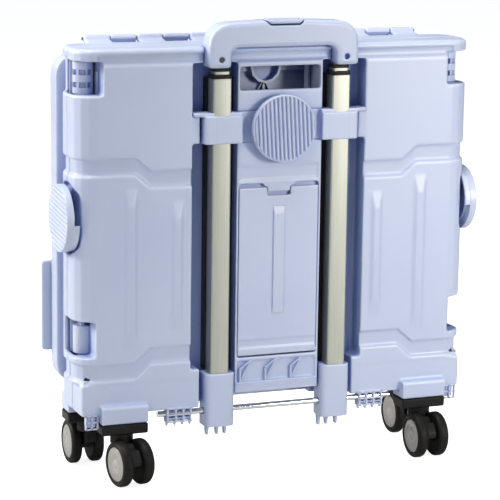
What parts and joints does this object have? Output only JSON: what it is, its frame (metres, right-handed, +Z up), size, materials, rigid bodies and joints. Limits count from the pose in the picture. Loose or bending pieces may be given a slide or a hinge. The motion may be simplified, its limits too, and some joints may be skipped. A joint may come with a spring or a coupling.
{
  "type": "folding trolley",
  "caption": "Hard-shell hobby trolley folded flat: two moulded shells on casters with fold-in side walls, hanging lid and a telescopic handle held by a knob bracket.",
  "frame": {"origin": "middle of the folded trolley's footprint on the ground", "axes": "+Z up; -Y is the side with the tubes and bracket; +Y is the side with the hanging lid; +X is to the right seen from the tube side"},
  "size_m": [0.48, 0.1538, 0.4982],
  "materials": {
    "shell": "smooth moulded plastic, pale grey-blue",
    "tube": "satin anodised",
    "black_trim": "black moulded plastic",
    "steel": "bright zinc plated",
    "rod": "polished rod",
    "wheel": "black wheels with grey discs"
  },
  "bodies": {
    "rear": {"rear_shell": "shell", "hinge_rod": "rod", "hatch_pin": "steel", "caster_rear_left_plate": "black_trim", "caster_rear_right_plate": "black_trim"},
    "left_rear_wall": {"left_rear_wall": "shell", "left_wall_pin": "steel"},
    "left_front_wall": {"left_front_wall": "shell"},
    "front": {"front_shell": "shell", "base_panel": "shell", "lid_pin": "steel", "caster_front_left_plate": "black_trim", "caster_front_right_plate": "black_trim"},
    "lid": {"lid": "shell", "lid_side_plate": "shell"},
    "right_rear_wall": {"right_rear_wall": "shell", "right_wall_pin": "steel"},
    "right_front_wall": {"right_front_wall": "shell"},
    "hatch": {"hatch_door": "shell"},
    "handle": {"outer_tube_left": "tube", "outer_tube_right": "tube", "tube_guide_left": "black_trim", "tube_guide_right": "black_trim", "outer_collar_left": "black_trim", "outer_collar_right": "black_trim", "socket_left": "shell", "socket_right": "shell", "tube_bracket": "shell"},
    "bracket_knob": {"bracket_knob": "shell"},
    "side_knob_left": {"side_knob_left": "shell"},
    "side_knob_right": {"side_knob_right": "shell"},
    "middle_stage": {"middle_tube_left": "tube", "middle_tube_right": "tube", "middle_collar_left": "black_trim", "middle_collar_right": "black_trim"},
    "inner_stage": {"inner_tube_left": "tube", "inner_tube_right": "tube", "grip": "shell", "grip_screw": "steel"},
    "button": {"release_button": "shell"},
    "rear_left_swivel": {"caster_rear_left_fork": "black_trim", "caster_rear_left_axle": "steel"},
    "rear_left_wheel_a": {"caster_rear_left_wheel_a": "wheel"},
    "rear_left_wheel_b": {"caster_rear_left_wheel_b": "wheel"},
    "rear_left_brake": {"caster_rear_left_brake": "black_trim"},
    "rear_right_swivel": {"caster_rear_right_fork": "black_trim", "caster_rear_right_axle": "steel"},
    "rear_right_wheel_a": {"caster_rear_right_wheel_a": "wheel"},
    "rear_right_wheel_b": {"caster_rear_right_wheel_b": "wheel"},
    "rear_right_brake": {"caster_rear_right_brake": "black_trim"},
    "front_left_swivel": {"caster_front_left_fork": "black_trim", "caster_front_left_axle": "steel"},
    "front_left_wheel_a": {"caster_front_left_wheel_a": "wheel"},
    "front_left_wheel_b": {"caster_front_left_wheel_b": "wheel"},
    "front_right_swivel": {"caster_front_right_fork": "black_trim", "caster_front_right_axle": "steel"},
    "front_right_wheel_a": {"caster_front_right_wheel_a": "wheel"},
    "front_right_wheel_b": {"caster_front_right_wheel_b": "wheel"}
  },
  "joints": [
    {"name": "fold", "type": "hinge", "parent": "rear", "child": "left_rear_wall", "pos_m": [-0.213, -0.004, 0.0965], "axis": [0, 0, 1], "range_deg": [0, 88.6]},
    {"name": "left_middle", "type": "hinge", "parent": "left_rear_wall", "child": "left_front_wall", "pos_m": [-0.04505, 0, 0.0965], "axis": [0, 0, 1], "range_deg": [-177.2, 0]},
    {"name": "left_front", "type": "hinge", "parent": "left_front_wall", "child": "front", "pos_m": [-0.213, 0.004, 0.0965], "axis": [0, 0, 1], "range_deg": [0, 88.6]},
    {"name": "right_rear", "type": "hinge", "parent": "rear", "child": "right_rear_wall", "pos_m": [0.213, -0.004, 0.0965], "axis": [0, 0, 1], "range_deg": [-88.6, 0]},
    {"name": "right_middle", "type": "hinge", "parent": "right_rear_wall", "child": "right_front_wall", "pos_m": [0.04505, 0, 0.0965], "axis": [0, 0, 1], "range_deg": [0, 177.2]},
    {"name": "lid_hinge", "type": "hinge", "parent": "front", "child": "lid", "pos_m": [0, 0.0515, 0.4725], "axis": [1, 0, 0], "range_deg": [0, 235]},
    {"name": "hatch_hinge", "type": "hinge", "parent": "rear", "child": "hatch", "pos_m": [0, -0.0337, 0.1318], "axis": [1, 0, 0], "range_deg": [0, 100]},
    {"name": "handle_tilt", "type": "hinge", "parent": "rear", "child": "handle", "pos_m": [0, -0.0325, 0.071], "axis": [1, 0, 0], "range_deg": [0, 30]},
    {"name": "bracket_knob_turn", "type": "hinge", "parent": "handle", "child": "bracket_knob", "pos_m": [0, -0.051, 0.3811], "axis": [0, -1, 0], "range_deg": [0, 180]},
    {"name": "left_knob_turn", "type": "hinge", "parent": "rear", "child": "side_knob_left", "pos_m": [-0.24, 0, 0.2875], "axis": [-1, 0, 0], "range_deg": [0, 180]},
    {"name": "right_knob_turn", "type": "hinge", "parent": "rear", "child": "side_knob_right", "pos_m": [0.24, 0, 0.2875], "axis": [1, 0, 0], "range_deg": [0, 180]},
    {"name": "middle_slide", "type": "slide", "parent": "handle", "child": "middle_stage", "axis": [0, 0, 1], "range_m": [0, 0.25]},
    {"name": "inner_slide", "type": "slide", "parent": "middle_stage", "child": "inner_stage", "axis": [0, 0, 1], "range_m": [0, 0.24]},
    {"name": "button_press", "type": "slide", "parent": "inner_stage", "child": "button", "axis": [0, 0, -1], "range_m": [0, 0.0012], "stiffness_N_per_m": 300, "springref_m": -0.002},
    {"name": "rear_left_swivel", "type": "hinge", "parent": "rear", "child": "rear_left_swivel", "pos_m": [-0.1773, -0.03, 0.05], "axis": [0, 0, 1], "continuous": true},
    {"name": "rear_left_roll_a", "type": "hinge", "parent": "rear_left_swivel", "child": "rear_left_wheel_a", "pos_m": [-0.18637, -0.05177, 0.025], "axis": [0.9866, 0.1633, 0], "continuous": true},
    {"name": "rear_left_roll_b", "type": "hinge", "parent": "rear_left_swivel", "child": "rear_left_wheel_b", "pos_m": [-0.1617, -0.04769, 0.025], "axis": [0.9866, 0.1633, 0], "continuous": true},
    {"name": "rear_left_brake", "type": "hinge", "parent": "rear_left_swivel", "child": "rear_left_brake", "pos_m": [-0.17265, -0.05812, 0.0372], "axis": [0.9866, 0.1633, 0], "range_deg": [0, 15]},
    {"name": "rear_right_swivel", "type": "hinge", "parent": "rear", "child": "rear_right_swivel", "pos_m": [0.1773, -0.03, 0.05], "axis": [0, 0, 1], "continuous": true},
    {"name": "rear_right_roll_a", "type": "hinge", "parent": "rear_right_swivel", "child": "rear_right_wheel_a", "pos_m": [0.1648, -0.05, 0.025], "axis": [1, 0, 0], "continuous": true},
    {"name": "rear_right_roll_b", "type": "hinge", "parent": "rear_right_swivel", "child": "rear_right_wheel_b", "pos_m": [0.1898, -0.05, 0.025], "axis": [1, 0, 0], "continuous": true},
    {"name": "rear_right_brake", "type": "hinge", "parent": "rear_right_swivel", "child": "rear_right_brake", "pos_m": [0.1773, -0.0585, 0.0372], "axis": [1, 0, 0], "range_deg": [0, 15]},
    {"name": "front_left_swivel", "type": "hinge", "parent": "front", "child": "front_left_swivel", "pos_m": [-0.1965, 0.03189, 0.05], "axis": [0, 0, 1], "continuous": true},
    {"name": "front_left_roll_a", "type": "hinge", "parent": "front_left_swivel", "child": "front_left_wheel_a", "pos_m": [-0.184, 0.05189, 0.025], "axis": [1, 0, 0], "continuous": true},
    {"name": "front_left_roll_b", "type": "hinge", "parent": "front_left_swivel", "child": "front_left_wheel_b", "pos_m": [-0.209, 0.05189, 0.025], "axis": [1, 0, 0], "continuous": true},
    {"name": "front_right_swivel", "type": "hinge", "parent": "front", "child": "front_right_swivel", "pos_m": [0.1965, 0.03189, 0.05], "axis": [0, 0, 1], "continuous": true},
    {"name": "front_right_roll_a", "type": "hinge", "parent": "front_right_swivel", "child": "front_right_wheel_a", "pos_m": [0.209, 0.05189, 0.025], "axis": [1, 0, 0], "continuous": true},
    {"name": "front_right_roll_b", "type": "hinge", "parent": "front_right_swivel", "child": "front_right_wheel_b", "pos_m": [0.184, 0.05189, 0.025], "axis": [1, 0, 0], "continuous": true}
  ],
  "couplings": [
    {"joint": "left_middle", "follows": "fold", "ratio": -2},
    {"joint": "left_front", "follows": "fold", "ratio": 1},
    {"joint": "right_rear", "follows": "fold", "ratio": -1},
    {"joint": "right_middle", "follows": "fold", "ratio": 2}
  ]
}
